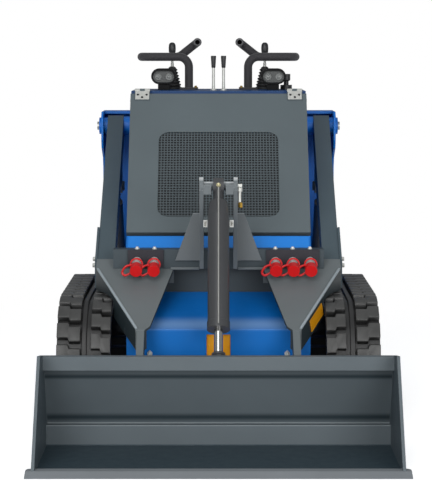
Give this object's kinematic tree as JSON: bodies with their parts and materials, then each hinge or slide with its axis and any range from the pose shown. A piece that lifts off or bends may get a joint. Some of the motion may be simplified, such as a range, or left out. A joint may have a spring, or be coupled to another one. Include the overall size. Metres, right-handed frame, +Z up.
{
  "type": "mini track loader",
  "caption": "Small stand-on loader on rubber tracks, with two lift arms, a tilting bucket and a hinged hood.",
  "frame": {"origin": "on the floor under the middle of the machine's bounding box", "axes": "+X across the machine, to the right of someone facing its bucket; +Y from the bucket to the platform; +Z up"},
  "size_m": [1.162, 2.25, 1.32],
  "materials": {
    "barrel_paint": "gloss",
    "black_steel": "satin",
    "blue_paint": "semi-gloss",
    "cast": "painted",
    "control_plastic": "matte",
    "dark_steel": "satin",
    "edge_steel": "semi-gloss",
    "engine_iron": "painted",
    "grey_paint": "semi-gloss",
    "grip_foam": "matte",
    "grip_steel": "satin",
    "hood_paint": "semi-gloss",
    "lamp_plastic": "satin",
    "pin_steel": "ground",
    "red_plastic": "gloss",
    "rod_chrome": "polished",
    "track_rubber": "matte",
    "worn_steel": "semi-gloss",
    "zinc": "galvanised"
  },
  "bodies": {
    "chassis": {"boom_pins": "pin_steel", "control_levers": "grip_steel", "engine": "engine_iron", "front_cowl": "blue_paint", "hand_rail_left": "grip_foam", "hand_rail_right": "grip_foam", "hood_hinges": "zinc", "hull": "blue_paint", "idler_left": "cast", "idler_right": "cast", "joystick_left": "control_plastic", "joystick_right": "control_plastic", "key_switch": "control_plastic", "lamp_left": "lamp_plastic", "lamp_right": "lamp_plastic", "platform": "black_steel", "rear_panel": "blue_paint", "rollers_left": "cast", "rollers_right": "cast", "shelf_cowl": "blue_paint", "side_panel_left": "blue_paint", "side_panel_right": "blue_paint", "sprocket_left": "cast", "sprocket_right": "cast", "top_deck": "blue_paint", "tower_left": "blue_paint", "tower_right": "blue_paint", "track_frame_left": "black_steel", "track_frame_right": "black_steel", "track_left": "track_rubber", "track_right": "track_rubber"},
    "boom": {"arm_left": "grey_paint", "arm_right": "grey_paint", "coupler_plates": "dark_steel", "couplers": "zinc", "cross_member": "grey_paint", "dust_caps": "red_plastic", "fork_left": "grey_paint", "fork_right": "grey_paint", "tilt_bracket": "grey_paint"},
    "bucket": {"bucket_carrier": "dark_steel", "bucket_pins": "pin_steel", "bucket_shell": "worn_steel", "cutting_edge": "edge_steel"},
    "hood": {"hood_grille": "black_steel", "hood_panel": "hood_paint"},
    "tilt_barrel": {"tilt_barrel": "barrel_paint"},
    "lift_left_barrel": {"lift_left_barrel": "barrel_paint"},
    "lift_left_rod": {"lift_left_rod": "rod_chrome"},
    "lift_right_barrel": {"lift_right_barrel": "barrel_paint"},
    "lift_right_rod": {"lift_right_rod": "rod_chrome"},
    "tilt_rod": {"tilt_rod": "rod_chrome"}
  },
  "joints": [
    {"name": "boom_lift", "type": "hinge", "parent": "chassis", "child": "boom", "pos_m": [0, 0.545, 0.983], "axis": [-1, 0, 0], "range_deg": [0, 70]},
    {"name": "bucket_tilt", "type": "hinge", "parent": "boom", "child": "bucket", "pos_m": [0, -0.605, 0.138], "axis": [1, 0, 0], "range_deg": [-25, 100]},
    {"name": "hood_open", "type": "hinge", "parent": "chassis", "child": "hood", "pos_m": [0, 0.27599, 1.12462], "axis": [-1, 0, 0], "range_deg": [0, 70]},
    {"name": "tilt_barrel_swing", "type": "hinge", "parent": "boom", "child": "tilt_barrel", "pos_m": [0, -0.315, 0.815], "axis": [1, 0, 0], "range_deg": [-4, 6]},
    {"name": "tilt_rod_slide", "type": "slide", "parent": "tilt_barrel", "child": "tilt_rod", "axis": [0, -0.5055, -0.8628], "range_m": [-0.045, 0.175]},
    {"name": "lift_barrel_swing_left", "type": "hinge", "parent": "chassis", "child": "lift_left_barrel", "pos_m": [-0.395, 0.68, 0.41], "axis": [-1, 0, 0], "range_deg": [-5, 12]},
    {"name": "lift_rod_slide_left", "type": "slide", "parent": "lift_left_barrel", "child": "lift_left_rod", "axis": [0, -0.6102, 0.7922], "range_m": [-0.005, 0.32]},
    {"name": "lift_barrel_swing_right", "type": "hinge", "parent": "chassis", "child": "lift_right_barrel", "pos_m": [0.395, 0.68, 0.41], "axis": [-1, 0, 0], "range_deg": [-5, 12]},
    {"name": "lift_rod_slide_right", "type": "slide", "parent": "lift_right_barrel", "child": "lift_right_rod", "axis": [0, -0.6102, 0.7922], "range_m": [-0.005, 0.32]}
  ],
  "couplings": [
    {"joint": "tilt_barrel_swing", "follows": "bucket_tilt", "ratio": 0.01},
    {"joint": "tilt_rod_slide", "follows": "bucket_tilt", "m_per_rad": 0.096},
    {"joint": "lift_barrel_swing_left", "follows": "boom_lift", "ratio": 0.057},
    {"joint": "lift_rod_slide_left", "follows": "boom_lift", "m_per_rad": 0.2525},
    {"joint": "lift_barrel_swing_right", "follows": "boom_lift", "ratio": 0.057},
    {"joint": "lift_rod_slide_right", "follows": "boom_lift", "m_per_rad": 0.2525}
  ]
}
